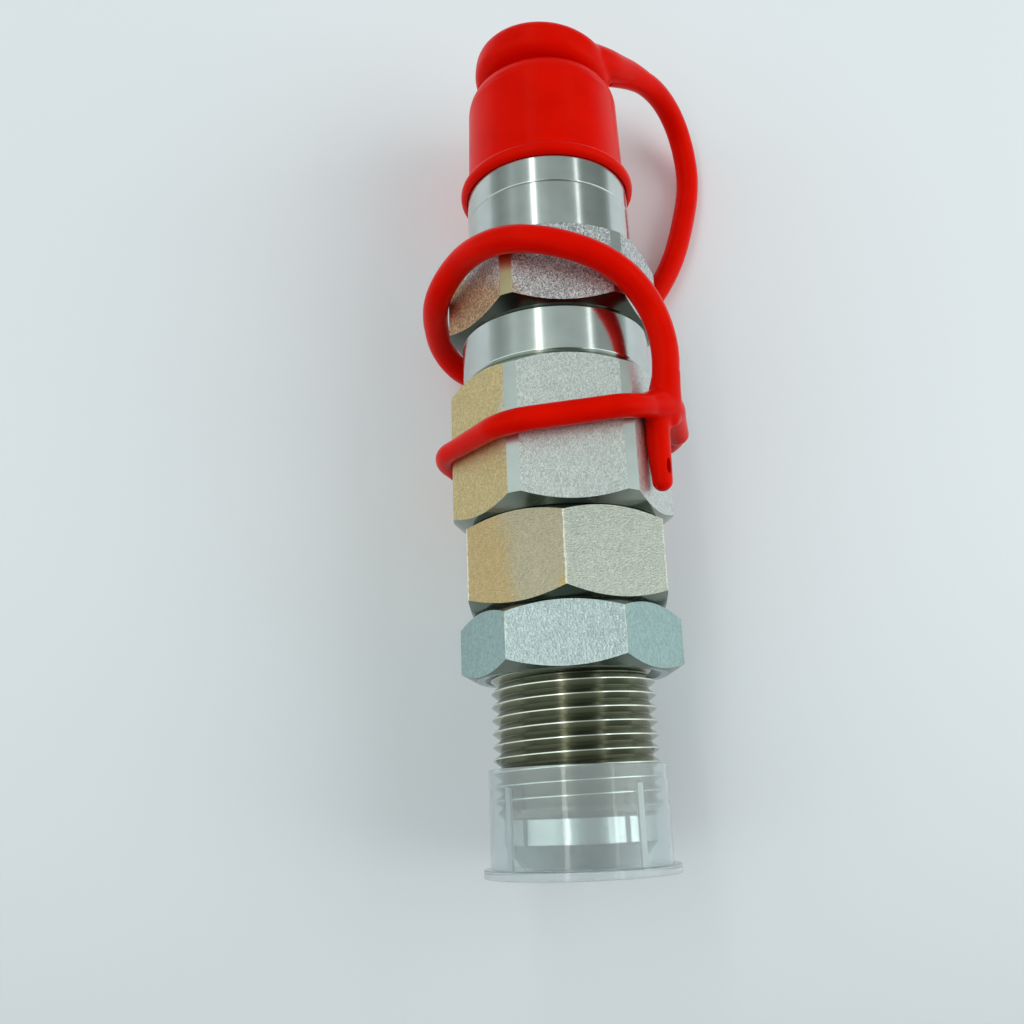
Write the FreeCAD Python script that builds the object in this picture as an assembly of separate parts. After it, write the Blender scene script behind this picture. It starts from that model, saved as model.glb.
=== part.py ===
"""Flat face quick coupler, nipple half with a bulkhead stem, lying on a surface with its dust cap on.

Millimetres. The origin is the centre of the stem's flare end face. +Y runs along the axis from there to the
nose and its cap, +Z is up as the coupler lies, and the flats of the two large hexagons are level.
"""
import FreeCAD
import Part
import math
import os
from FreeCAD import Vector

# Fits and gaps
running_gap = 0.06        # radial, a sliding stem or a turning nut
face_gap = 0.15           # axial, between faces that part when a piece moves
seat_gap = 0.1            # radial or axial, between a seal or a valve and its seat
loose_gap = 0.3           # round what is pulled off by hand
joint_gap = 0.1           # radial, in a screwed joint drawn without its thread
stem_chamfer = 1.0        # at the end of a valve's stem or boss

# Steps that roundings and coils are drawn in
rounding_steps = 3
coil_steps = 12

# Bulkhead adapter: stem, flare and small hexagon
thread_diameter = 26.99
threads_per_inch = 12
thread_depth = 1.25
thread_crest = 0.28       # flat over each crest
relief_diameter = 24.2
flare_length = 3.45
flare_half_angle = 37.0
relief_length = 3.75
thread_lead_in = 1.6
stem_length = 39.7
stem_bore = 15.6
small_hex_flats = 32.0
adapter_hex_length = 14.9
adapter_hex_turn = 6.9    # degrees, of a corner from straight up to the left
small_hex_chamfer = 1.55
small_hex_face_diameter = 31.6
rear_chamber_bore = 20.0
rear_chamber_inset = 1.3

# Lock nut
nut_length = 10.45
nut_hex_turn = 9.2        # degrees, of a flat from straight up to the left
nut_countersink = 0.9

# Valve body and front body: large hexagons turned down at their corners
large_hex_flats = 34.0
large_hex_turned = 38.0
large_hex_chamfer = 1.9
large_hex_face_diameter = 32.4
valve_body_length = 26.0
web_length = 7.3
valve_port = 13.0
valve_seat_depth = 2.1
spacer_length = 8.5
spacer_wall = 3.05
spacer_edge = 0.45
front_hex_length = 15.5
barrel_diameter = 30.0
barrel_length = 9.2
barrel_edge = 0.3

# Screwed joints between the bodies, with their seals
spigot_diameter = 27.0
rear_spigot_length = 9.25
front_spigot_length = 9.1
spigot_groove_depth = 1.7
spigot_groove_length = 3.8
spigot_groove_inset = 3.0
spigot_lead = 0.8
o_ring_section = 1.7
backup_ring_length = 1.2

# Nose
nose_collar_length = 7.3
nose_length = 18.7
nose_diameter = 24.5
nose_edge = 1.0
ball_groove_start = 3.7
ball_groove_depth = 1.3
ball_groove_floor = 2.1
nose_port = 15.6
nose_port_length = 4.1
nose_bore = 18.4
nose_spigot_diameter = 26.0
nose_spigot_length = 9.75
nose_groove_depth = 1.6
nose_groove_length = 2.3
nose_groove_inset = 1.2

# Front valve
poppet_land_gap = 0.08
poppet_flange_length = 2.7
poppet_stem_diameter = 8.0
poppet_stroke = 7.5
face_seal_width = 1.9
face_seal_depth = 1.4
face_seal_inset = 0.9
flow_slot_width = 5.0
flow_slot_depth = 2.2
flow_slot_count = 4
front_spring_wire = 1.5
front_spring_diameter = 12.8
front_spring_turns = 8.5

# Spiders that guide the two valve stems
guide_length = 4.0
guide_rim = 1.4
guide_hub_wall = 1.9
guide_arm = 2.4
guide_arm_count = 3
front_guide_inset = 4.6
front_body_bore = 17.6
clip_section = 1.1
clip_depth = 0.6
clip_width = 1.3
clip_mouth = 70.0         # degrees

# Rear valve with its relief pin
rear_head_diameter = 17.0
rear_head_length = 3.1
rear_boss_length = 2.5
rear_stem_diameter = 7.0
rear_stem_length = 19.4
rear_seal_length = 1.3
rear_spring_wire = 1.3
rear_spring_diameter = 12.6
rear_spring_turns = 5.5
pin_bore = 4.2
pin_bore_depth = 17.2
pin_diameter = 2.9
pin_head_diameter = 3.9
pin_head_length = 1.6
pin_length = 13.8
plug_length = 3.0
plug_inset = 2.0
pin_spring_wire = 0.45
pin_spring_diameter = 2.9
pin_spring_turns = 9.5

# Dust cap
cap_lip_diameter = 32.3
cap_lip_length = 2.7
cap_lip_edge = 1.1
cap_grip = 2.3
cap_mouth_diameter = 29.3
cap_top_diameter = 28.5
cap_bore = 26.3
cap_inner_edge = 1.5
cap_shoulder = 4.7
cap_neck_diameter = 18.6
cap_neck_length = 0.9
cap_knob_diameter = 26.4
cap_knob_length = 6.6
cap_knob_lean = 7.0       # degrees, pulled over to the right by the tether
cap_knob_edge = 2.2
cap_length = 24.8

# Tether, its ring and its tab, one moulding with the cap
tether_diameter = 4.6
tether_bend = 0.45        # share of the shorter run that a bend takes up
ring_section = 4.1
ring_bend = 5.5
ring_place = 68.9
ring_lean = 6.8           # degrees, its right side towards the nose
ring_gap = 0.15
ring_slack = 0.85         # by which it hangs off the lower flat
elbow_diameter = 4.2
tab_diameter = 3.8
tab_offset = 2.9
tab_length = 13.0
tab_slot_length = 2.6
tab_slot_width = 0.8

# Thread protector
protector_wall = 0.5
protector_sleeve_gap = 0.36
protector_rib_width = 1.2
protector_rib_top = 12.0
protector_rib_count = 4
protector_rib_turn = -11.0   # degrees
protector_length = 16.3
protector_end_wall = 1.1
protector_flange_diameter = 31.0
protector_flange_length = 1.34

# The tether's route, chosen by hand: out of the knob, down to the surface on the right, under the body,
# up on the left, over the top in a loop and down to the ring's junction
tether_route = [
    (13.5, 147.7, 0.6), (19.2, 150.4, -3.1), (25.0, 151.4, -8.6), (29.6, 149.2, -14.2), (32.4, 143.6, -18.2),
    (33.2, 136.0, -20.0), (31.0, 126.4, -19.5), (28.2, 117.6, -19.5), (23.6, 109.4, -19.5),
    (17.4, 102.4, -19.5), (9.8, 96.0, -19.5), (1.2, 91.2, -19.5), (-8.4, 90.1, -20.0), (-16.1, 91.3, -17.3),
    (-20.3, 93.9, -12.4), (-21.7, 95.8, -3.7), (-21.2, 97.1, 4.0), (-17.6, 100.0, 10.3), (-13.6, 99.8, 16.6),
    (-8.6, 99.2, 20.3), (-1.8, 98.0, 21.2), (5.7, 95.8, 20.5), (11.6, 92.2, 18.6), (15.8, 87.0, 15.3),
    (17.1, 79.3, 14.6), (16.4, 75.0, 13.2),
]

# Places along the axis
thread_start = flare_length + relief_length + thread_lead_in
adapter_hex_start = stem_length
adapter_face = adapter_hex_start + adapter_hex_length
valve_body_face = adapter_face + valve_body_length
spacer_face = valve_body_face + spacer_length
front_hex_face = spacer_face + front_hex_length
barrel_face = front_hex_face + barrel_length
collar_face = barrel_face + nose_collar_length
nose_face = collar_face + nose_length
web_start = adapter_face + rear_spigot_length + face_gap
web_end = web_start + web_length
front_guide_place = front_hex_face - front_guide_inset
front_guide_face = front_guide_place + guide_length
rear_chamber_start = stem_length + rear_chamber_inset
rear_guide_face = rear_chamber_start + guide_length
socket_diameter = spigot_diameter + 2 * joint_gap
nose_socket_diameter = nose_spigot_diameter + 2 * joint_gap
port_end = nose_face - nose_port_length
cap_mouth = collar_face - cap_grip
rear_head_start = web_start - rear_head_length - 2 * seat_gap - face_gap
rear_head_face = rear_head_start + rear_head_length
rear_valve_back = rear_head_start - rear_stem_length
pin_shoulder = rear_valve_back + pin_bore_depth - face_gap
pin_back = pin_shoulder - pin_head_length
pin_tip = pin_shoulder + pin_length
plug_end = rear_valve_back + plug_inset + plug_length
poppet_shoulder = port_end - 2 * seat_gap
poppet_land = nose_port / 2 - poppet_land_gap
poppet_flange = nose_bore / 2 - seat_gap
poppet_flange_face = poppet_shoulder - (poppet_flange - poppet_land)
poppet_flange_back = poppet_flange_face - poppet_flange_length
rear_groove_start = adapter_face + spigot_groove_inset
front_groove_start = valve_body_face - spigot_groove_inset - spigot_groove_length
nose_groove_middle = barrel_face - nose_groove_inset - nose_groove_length / 2


def turned(points):
    """A solid turned about the Y axis from its outline, a list of (radius, place along the axis)."""
    corners = [Vector(radius, place, 0) for radius, place in points]
    outline = Part.makePolygon(corners + corners[:1])
    return Part.Face(outline).revolve(Vector(0, 0, 0), Vector(0, 1, 0), 360)


def rod(diameter, start, end):
    """A cylinder along the axis."""
    return Part.makeCylinder(diameter / 2, end - start, Vector(0, start, 0), Vector(0, 1, 0))


def tube(outer, inner, start, end):
    """A ring with a square section, from its two diameters."""
    return turned([(inner / 2, start), (outer / 2, start), (outer / 2, end), (inner / 2, end)])


def o_ring(floor_diameter, section, place):
    """A rubber ring pressed into its groove: its section is drawn with six sides."""
    centre = floor_diameter / 2 + section / 2
    return turned([
        (centre + section / 2 * math.cos(math.radians(60 * k + 30)),
         place + section / 2 * math.sin(math.radians(60 * k + 30))) for k in range(6)
    ])


def rounded(radius, place, size, first, last):
    """Points of an outline along a rounding of some size, between two angles from the outward direction."""
    angles = [math.radians(first + (last - first) * k / rounding_steps) for k in range(rounding_steps + 1)]
    return [(radius + size * math.cos(a), place + size * math.sin(a)) for a in angles]


def hexagon(flats, start, end, turn=0.0):
    """A hexagonal bar along the axis with a flat straight up, turned to the left by some degrees."""
    reach = flats / math.sqrt(3)
    angles = [math.radians(turn + 60 * k) for k in range(6)]
    corners = [Vector(reach * math.cos(a), start, reach * math.sin(a)) for a in angles]
    face = Part.Face(Part.makePolygon(corners + corners[:1]))
    return face.extrude(Vector(0, end - start, 0))


def chamfered_hexagon(flats, largest, face_diameter, chamfer, start, end, turn=0.0):
    """A hexagonal bar whose corners are turned down to a circle and chamfered at both ends."""
    envelope = turned([
        (0, start), (face_diameter / 2, start), (largest / 2, start + chamfer),
        (largest / 2, end - chamfer), (face_diameter / 2, end), (0, end),
    ])
    return hexagon(flats, start, end, turn).common(envelope)


def spring(diameter, wire, turns, start, end):
    """A compression spring by its mean coil diameter, its square-drawn wire in straight steps."""
    count = round(turns * coil_steps)
    rings = []
    for k in range(count + 1):
        turn = math.radians(360 / coil_steps * k)
        place = start + wire / 2 + (end - start - wire) * k / count
        rings.append([
            Vector((diameter / 2 + u * wire / 2) * math.cos(turn), place + v * wire / 2,
                   (diameter / 2 + u * wire / 2) * math.sin(turn))
            for u, v in ((-1, -1), (1, -1), (1, 1), (-1, 1))
        ])
    corners = [(rings[0][0], rings[0][1], rings[0][2]), (rings[0][0], rings[0][2], rings[0][3]),
               (rings[-1][0], rings[-1][1], rings[-1][2]), (rings[-1][0], rings[-1][2], rings[-1][3])]
    for near, far in zip(rings, rings[1:]):
        for j in range(4):
            beside = (j + 1) % 4
            corners += [(near[j], near[beside], far[beside]), (near[j], far[beside], far[j])]
    faces = [Part.Face(Part.makePolygon([a, b, c, a])) for a, b, c in corners]
    return Part.makeSolid(Part.makeShell(faces))


def arc_path(points, share, closed=False):
    """Straight runs joined by tangent arcs, and each arc's radius; share is of a corner's shorter run."""
    count = len(points)
    corners = range(count) if closed else range(1, count - 1)
    arcs = {}
    radii = []
    for k in corners:
        here = points[k]
        back = points[k - 1] - here
        ahead = points[(k + 1) % count] - here
        cut = share(back.Length, ahead.Length, math.pi - back.getAngle(ahead))
        a = here + back.normalize() * cut
        b = here + ahead.normalize() * cut
        half_turn = (math.pi - back.getAngle(ahead)) / 2
        radius = cut / math.tan(half_turn)
        inward = (back + ahead).normalize()
        middle = here + inward * (radius / math.cos(half_turn) - radius)
        arcs[k] = (a, middle, b)
        radii.append(radius)
    edges = []
    for k in range(count if closed else count - 1):
        ahead = (k + 1) % count
        run_start = arcs[k][2] if k in arcs else points[k]
        run_end = arcs[ahead][0] if ahead in arcs else points[ahead]
        edges.append(Part.LineSegment(run_start, run_end).toShape())
        if ahead in arcs:
            edges.append(Part.Arc(*arcs[ahead]).toShape())
    return Part.Wire(edges), radii


def cord(path, diameter):
    """A plain bar with an eight-sided section along a path that starts on a straight run."""
    first = path.Edges[0]
    start = first.valueAt(first.FirstParameter)
    heading = first.tangentAt(first.FirstParameter)
    across = heading.cross(Vector(0, 1, 0)).normalize()
    up = heading.cross(across)
    corners = []
    for k in range(8):
        angle = math.radians(45 * k)
        corners.append(start + (across * math.cos(angle) + up * math.sin(angle)) * (diameter / 2))
    section = Part.makePolygon(corners + corners[:1])
    return path.makePipeShell([section], True, False)


def spider(bore, stem_diameter, start):
    """A guide with a rim, a hub round the valve's stem and arms that leave the oil its way through."""
    end = start + guide_length
    hub_bore = stem_diameter + 2 * running_gap
    hub_diameter = hub_bore + 2 * guide_hub_wall
    rim = tube(bore - running_gap, bore - running_gap - 2 * guide_rim, start, end)
    hub = tube(hub_diameter, hub_bore, start, end)
    reach = bore / 2 - guide_rim / 2
    arms = []
    for k in range(guide_arm_count):
        arm = Part.makeBox(reach, guide_length, guide_arm, Vector(0, start, -guide_arm / 2))
        arm.rotate(Vector(0, 0, 0), Vector(0, 1, 0), 360 / guide_arm_count * k + 90)
        arms.append(arm.cut(rod((hub_bore + hub_diameter) / 2, start, end)))
    return rim.multiFuse([hub] + arms)


def thread_crests(start, end):
    """The stem's thread as plain rings at its pitch, each a crest and a V: outline points (radius, place)."""
    pitch = 25.4 / threads_per_inch
    radius = thread_diameter / 2
    points = []
    for k in range(math.floor((end - start) / pitch)):
        crest = start + k * pitch
        points += [(radius, crest), (radius, crest + thread_crest),
                   (radius - thread_depth, crest + (thread_crest + pitch) / 2)]
    return points + [(radius, start + math.floor((end - start) / pitch) * pitch), (radius, end)]


def bulkhead_adapter():
    thread = thread_diameter / 2
    relief = relief_diameter / 2
    flare_tip = relief - flare_length * math.tan(math.radians(flare_half_angle))
    spigot = spigot_diameter / 2
    spigot_end = adapter_face + rear_spigot_length
    groove = spigot - spigot_groove_depth
    groove_start = adapter_face + spigot_groove_inset
    bore = stem_bore / 2
    chamber = rear_chamber_bore / 2
    clip_groove = chamber + clip_depth
    body = turned([
        (bore, 0), (flare_tip, 0), (relief, flare_length), (relief, flare_length + relief_length),
    ] + thread_crests(thread_start, adapter_hex_start) + [
        (thread, adapter_face), (spigot, adapter_face), (spigot, groove_start), (groove, groove_start),
        (groove, groove_start + spigot_groove_length), (spigot, groove_start + spigot_groove_length),
        (spigot, spigot_end - spigot_lead), (spigot - spigot_lead, spigot_end), (chamber, spigot_end),
        (chamber, rear_guide_face + clip_width), (clip_groove, rear_guide_face + clip_width),
        (clip_groove, rear_guide_face), (chamber, rear_guide_face), (chamber, rear_chamber_start),
        (bore, rear_chamber_start),
    ])
    across_corners = 2 * small_hex_flats / math.sqrt(3)
    nut = chamfered_hexagon(small_hex_flats, across_corners, small_hex_face_diameter, small_hex_chamfer,
                            adapter_hex_start, adapter_face, 30 + adapter_hex_turn)
    chamber = rod(rear_chamber_bore, adapter_hex_start, adapter_face)
    groove = rod(rear_chamber_bore + 2 * clip_depth, rear_guide_face, rear_guide_face + clip_width)
    return body.fuse(nut.cut(chamber).cut(groove))


def lock_nut():
    hole = thread_diameter / 2 + running_gap
    end = adapter_hex_start - face_gap
    start = end - nut_length
    across_corners = 2 * small_hex_flats / math.sqrt(3)
    blank = chamfered_hexagon(small_hex_flats, across_corners, small_hex_face_diameter, small_hex_chamfer,
                              start, end, nut_hex_turn)
    wide = hole + nut_countersink
    return blank.cut(turned([
        (0, start), (wide, start), (hole, start + nut_countersink), (hole, end - nut_countersink),
        (wide, end), (0, end),
    ]))


def large_hexagon(start, end):
    return chamfered_hexagon(large_hex_flats, large_hex_turned, large_hex_face_diameter, large_hex_chamfer,
                             start, end)


def valve_body():
    socket = socket_diameter / 2
    port = valve_port / 2
    return large_hexagon(adapter_face, valve_body_face).cut(turned([
        (0, adapter_face), (socket, adapter_face), (socket, web_start), (port + valve_seat_depth, web_start),
        (port, web_start + valve_seat_depth), (port, web_end), (socket, web_end), (socket, valve_body_face),
        (0, valve_body_face),
    ]))


def spacer_collar():
    inner = socket_diameter / 2
    outer = inner + spacer_wall
    return turned([
        (inner, valve_body_face), (outer - spacer_edge, valve_body_face),
        (outer, valve_body_face + spacer_edge), (outer, spacer_face - spacer_edge),
        (outer - spacer_edge, spacer_face), (inner, spacer_face),
    ])


def front_body():
    spigot = spigot_diameter / 2
    groove = spigot - spigot_groove_depth
    spigot_start = valve_body_face - front_spigot_length
    groove_end = valve_body_face - spigot_groove_inset
    bore = front_body_bore / 2
    guide = rear_chamber_bore / 2
    socket = nose_socket_diameter / 2
    barrel = barrel_diameter / 2
    core = turned([
        (bore, spigot_start), (spigot - spigot_lead, spigot_start), (spigot, spigot_start + spigot_lead),
        (spigot, groove_end - spigot_groove_length), (groove, groove_end - spigot_groove_length),
        (groove, groove_end), (spigot, groove_end), (spigot, spacer_face), (barrel, spacer_face),
        (barrel, barrel_face - barrel_edge), (barrel - barrel_edge, barrel_face), (socket, barrel_face),
        (socket, front_guide_face), (guide, front_guide_face), (guide, front_guide_place),
        (bore, front_guide_place),
    ])
    hollow = turned([
        (0, spacer_face), (bore, spacer_face), (bore, front_guide_place), (guide, front_guide_place),
        (guide, front_guide_face), (socket, front_guide_face), (socket, barrel_face), (0, barrel_face),
    ])
    return core.fuse(large_hexagon(spacer_face, front_hex_face).cut(hollow))


def nose():
    tip = nose_diameter / 2
    floor = tip - ball_groove_depth
    collar = barrel_diameter / 2
    spigot = nose_spigot_diameter / 2
    groove = spigot - nose_groove_depth
    spigot_start = barrel_face - nose_spigot_length
    groove_end = barrel_face - nose_groove_inset
    bore = nose_bore / 2
    port = nose_port / 2
    ball_groove = collar_face + ball_groove_start
    ball_floor = ball_groove + ball_groove_depth
    return turned([
        (bore, spigot_start), (spigot, spigot_start), (spigot, groove_end - nose_groove_length),
        (groove, groove_end - nose_groove_length), (groove, groove_end), (spigot, groove_end),
        (spigot, barrel_face), (collar - barrel_edge, barrel_face), (collar, barrel_face + barrel_edge),
        (collar, collar_face - barrel_edge), (collar - barrel_edge, collar_face), (tip, collar_face),
        (tip, ball_groove), (floor, ball_floor), (floor, ball_floor + ball_groove_floor),
        (tip, ball_floor + ball_groove_floor + ball_groove_depth), (tip, nose_face - nose_edge),
        (tip - nose_edge, nose_face), (port, nose_face), (port, port_end), (bore, port_end - (bore - port)),
    ])


def face_poppet():
    stem = poppet_stem_diameter / 2
    stem_end = pin_tip + poppet_stroke + stem_chamfer
    groove_front = nose_face - face_seal_inset
    groove_back = groove_front - face_seal_width
    floor = poppet_land - face_seal_depth
    poppet = turned([
        (0, stem_end), (stem - stem_chamfer, stem_end), (stem, stem_end + stem_chamfer),
        (stem, poppet_flange_back), (poppet_flange, poppet_flange_back), (poppet_flange, poppet_flange_face),
        (poppet_land, poppet_shoulder), (poppet_land, groove_back), (floor, groove_back),
        (floor, groove_front), (poppet_land, groove_front), (poppet_land, nose_face), (0, nose_face),
    ])
    slots = []
    for k in range(flow_slot_count):
        slot = Part.makeBox(flow_slot_width, 2 * poppet_flange_length, 2 * flow_slot_depth,
                            Vector(-flow_slot_width / 2, poppet_flange_back - poppet_flange_length / 2,
                                   poppet_flange - flow_slot_depth))
        slot.rotate(Vector(0, 0, 0), Vector(0, 1, 0), 360 / flow_slot_count * k)
        slots.append(slot)
    return poppet.cut(Part.makeCompound(slots))


def face_seal():
    land = 2 * poppet_land
    end = nose_face - face_seal_inset
    return tube(land, land - 2 * face_seal_depth, end - face_seal_width, end)


def rear_valve():
    head = rear_head_diameter / 2
    boss = valve_port / 2 - loose_gap
    tip = rear_head_face + rear_boss_length
    stem = rear_stem_diameter / 2
    bore = pin_bore / 2
    hole = pin_diameter / 2 + running_gap
    bore_end = rear_valve_back + pin_bore_depth
    return turned([
        (bore, rear_valve_back), (stem, rear_valve_back), (stem, rear_head_start), (head, rear_head_start),
        (head, rear_head_face), (boss, rear_head_face), (boss, tip - stem_chamfer),
        (boss - stem_chamfer, tip), (hole, tip), (hole, bore_end), (bore, bore_end),
    ])


def rear_valve_seal():
    inner = valve_port / 2 - loose_gap
    outer = rear_head_diameter / 2 - seat_gap
    start = rear_head_face
    end = start + rear_seal_length
    cone_at_end = valve_port / 2 + valve_seat_depth - (end - web_start) - 2 * seat_gap
    cone_start = end - (outer - cone_at_end)
    return turned([(inner, start), (outer, start), (outer, cone_start), (cone_at_end, end), (inner, end)])


def pilot_pin():
    head = pin_head_diameter / 2
    pin = pin_diameter / 2
    return turned([
        (0, pin_back), (head, pin_back), (head, pin_shoulder), (pin, pin_shoulder), (pin, pin_tip),
        (0, pin_tip),
    ])


def guide_clip():
    section = tube(rear_chamber_bore + 2 * clip_depth - 2 * running_gap,
                   rear_chamber_bore + 2 * clip_depth - 2 * running_gap - 2 * clip_section,
                   rear_guide_face + running_gap, rear_guide_face + clip_width - running_gap)
    half = math.radians(clip_mouth / 2)
    side = rear_chamber_bore * math.sin(half)
    drop = rear_chamber_bore * math.cos(half)
    mouth = Part.Face(Part.makePolygon([
        Vector(0, rear_guide_face, 0), Vector(side, rear_guide_face, -drop),
        Vector(-side, rear_guide_face, -drop), Vector(0, rear_guide_face, 0),
    ])).extrude(Vector(0, clip_width, 0))
    return section.cut(mouth)


def dust_cap():
    lip = cap_lip_diameter / 2
    top = cap_top_diameter / 2
    neck = cap_neck_diameter / 2
    knob = cap_knob_diameter / 2
    end = cap_mouth + cap_length + cap_knob_length
    knob_start = end - cap_knob_length
    shoulder_end = knob_start - cap_neck_length
    head = turned(
        [(0, knob_start)]
        + rounded(knob - cap_knob_edge, knob_start + cap_knob_edge, cap_knob_edge, -90, 0)
        + rounded(knob - cap_knob_edge, end - cap_knob_edge, cap_knob_edge, 0, 90)
        + [(0, end)])
    head.rotate(Vector(0, knob_start, 0), Vector(0, 0, 1), -cap_knob_lean)
    cover = turned(
        [(0, cap_mouth), (lip - cap_lip_edge, cap_mouth)]
        + rounded(lip - cap_lip_edge, cap_mouth + cap_lip_edge, cap_lip_edge, -90, 0)[1:]
        + rounded(lip - cap_lip_edge, cap_mouth + cap_lip_length - cap_lip_edge, cap_lip_edge, 0, 90)
        + [(cap_mouth_diameter / 2, cap_mouth + cap_lip_length)]
        + rounded(top - cap_shoulder, shoulder_end - cap_shoulder, cap_shoulder, 0, 90)
        + [(neck, shoulder_end), (neck, end - cap_knob_length / 2), (0, end - cap_knob_length / 2)])
    grip = barrel_diameter / 2 + running_gap
    bore = cap_bore / 2
    step = collar_face + loose_gap
    floor = nose_face + loose_gap
    return cover.fuse(head).cut(turned([
        (0, cap_mouth), (grip, cap_mouth), (grip, step), (bore, step), (bore, floor - cap_inner_edge),
        (bore - cap_inner_edge, floor), (0, floor),
    ]))


def tether():
    path, radii = arc_path([Vector(*point) for point in tether_route],
                           lambda back, ahead, turn: tether_bend * min(back, ahead))
    print("tether length", round(path.Length, 1), "radii", [round(radius, 1) for radius in radii])
    return cord(path, tether_diameter)


def tether_ring():
    reach = large_hex_flats / 2 + ring_section / 2 + ring_gap
    lean = math.tan(math.radians(ring_lean))
    corner = 2 * reach / math.sqrt(3)
    points = []
    for k in range(6):
        x = corner * math.cos(math.radians(60 * k))
        z = corner * math.sin(math.radians(60 * k))
        points.append(Vector(x, ring_place + x * lean, z - ring_slack if z < -reach / 2 else z))
    path, radii = arc_path(points, lambda back, ahead, turn: ring_bend * math.tan(turn / 2), closed=True)
    ring = cord(path, ring_section)
    flat = math.radians(30)
    height = large_hex_flats / 2 + tab_diameter / 2 + ring_gap
    root_x = height * math.cos(flat) - tab_offset * math.sin(flat)
    root_z = height * math.sin(flat) + tab_offset * math.cos(flat)
    root = Vector(root_x, ring_place + root_x * lean, root_z)
    tip = root - Vector(0, tab_length, 0)
    end = Vector(*tether_route[-1])
    heading = (end - Vector(*tether_route[-2])).normalize()
    start = end + heading * loose_gap
    elbow = start + heading * tether_diameter / 2
    down = root - elbow
    branch = Part.makeCylinder(tether_diameter / 2, tether_diameter / 2, start, heading).multiFuse([
        Part.makeSphere(tether_diameter / 2, elbow),
        Part.makeCone(elbow_diameter / 2, tab_diameter / 2, down.Length, elbow, down),
        Part.makeSphere(tab_diameter / 2, root),
        Part.makeCylinder(tab_diameter / 2, tab_length, tip, root - tip),
    ])
    through = 2 * tab_diameter
    slot = Part.makeBox(tab_slot_width, tab_slot_length, through,
                        Vector(-tab_slot_width / 2, 0, -through / 2))
    slot.rotate(Vector(0, 0, 0), Vector(0, 1, 0), 60)
    slot.translate(tip + Vector(0, tab_slot_length / 2, 0))
    return ring.fuse(branch.cut(slot))


def thread_protector():
    wall_inner = thread_diameter / 2 + protector_sleeve_gap
    wall_outer = wall_inner + protector_wall
    flange = protector_flange_diameter / 2
    floor = -loose_gap
    start = floor - protector_end_wall
    rim = start + protector_length
    shell = turned([
        (0, start), (flange, start), (flange, start + protector_flange_length),
        (wall_outer, start + protector_flange_length), (wall_outer, rim), (wall_inner, rim),
        (wall_inner, floor), (0, floor),
    ])
    rib_depth = protector_sleeve_gap - seat_gap
    ribs = []
    for k in range(protector_rib_count):
        rib = Part.makeBox(protector_rib_width, protector_rib_top - floor, rib_depth + protector_wall / 2,
                           Vector(-protector_rib_width / 2, floor, wall_inner - rib_depth))
        turn = 360 / protector_rib_count * (k + 0.5) + protector_rib_turn
        rib.rotate(Vector(0, 0, 0), Vector(0, 1, 0), turn)
        ribs.append(rib)
    return shell.multiFuse(ribs)


spigot_floor = spigot_diameter - 2 * spigot_groove_depth

parts = {
    "bulkhead_adapter": bulkhead_adapter(),
    "lock_nut": lock_nut(),
    "valve_body": valve_body(),
    "spacer_collar": spacer_collar(),
    "front_body": front_body(),
    "nose": nose(),
    "face_poppet": face_poppet(),
    "face_seal": face_seal(),
    "front_spring": spring(front_spring_diameter, front_spring_wire, front_spring_turns,
                           front_guide_face + seat_gap, poppet_flange_back - seat_gap),
    "front_guide": spider(rear_chamber_bore, poppet_stem_diameter, front_guide_place),
    "rear_valve": rear_valve(),
    "rear_valve_seal": rear_valve_seal(),
    "rear_spring": spring(rear_spring_diameter, rear_spring_wire, rear_spring_turns,
                          rear_guide_face + seat_gap, rear_head_start - seat_gap),
    "rear_guide": spider(rear_chamber_bore, rear_stem_diameter, rear_chamber_start),
    "guide_clip": guide_clip(),
    "pilot_pin": pilot_pin(),
    "pilot_spring": spring(pin_spring_diameter, pin_spring_wire, pin_spring_turns,
                           plug_end + seat_gap, pin_back - seat_gap),
    "pilot_plug": rod(pin_bore, plug_end - plug_length, plug_end),
    "nose_o_ring": o_ring(nose_spigot_diameter - 2 * nose_groove_depth, o_ring_section, nose_groove_middle),
    "front_o_ring": o_ring(spigot_floor, o_ring_section, front_groove_start + o_ring_section / 2),
    "front_backup_ring": tube(socket_diameter, spigot_floor, front_groove_start + o_ring_section + joint_gap,
                              front_groove_start + o_ring_section + joint_gap + backup_ring_length),
    "rear_o_ring": o_ring(spigot_floor, o_ring_section, rear_groove_start + o_ring_section / 2),
    "rear_backup_ring": tube(socket_diameter, spigot_floor, rear_groove_start + o_ring_section + joint_gap,
                             rear_groove_start + o_ring_section + joint_gap + backup_ring_length),
    "dust_cap": dust_cap(),
    "cap_tether": tether(),
    "tether_ring": tether_ring(),
    "thread_protector": thread_protector(),
}

os.makedirs("parts", exist_ok=True)
for name, shape in parts.items():
    print(name, "valid", shape.isValid(), "solids", len(shape.Solids), "volume", round(shape.Volume, 1))
    shape.exportStep("parts/" + name + ".step")
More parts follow.
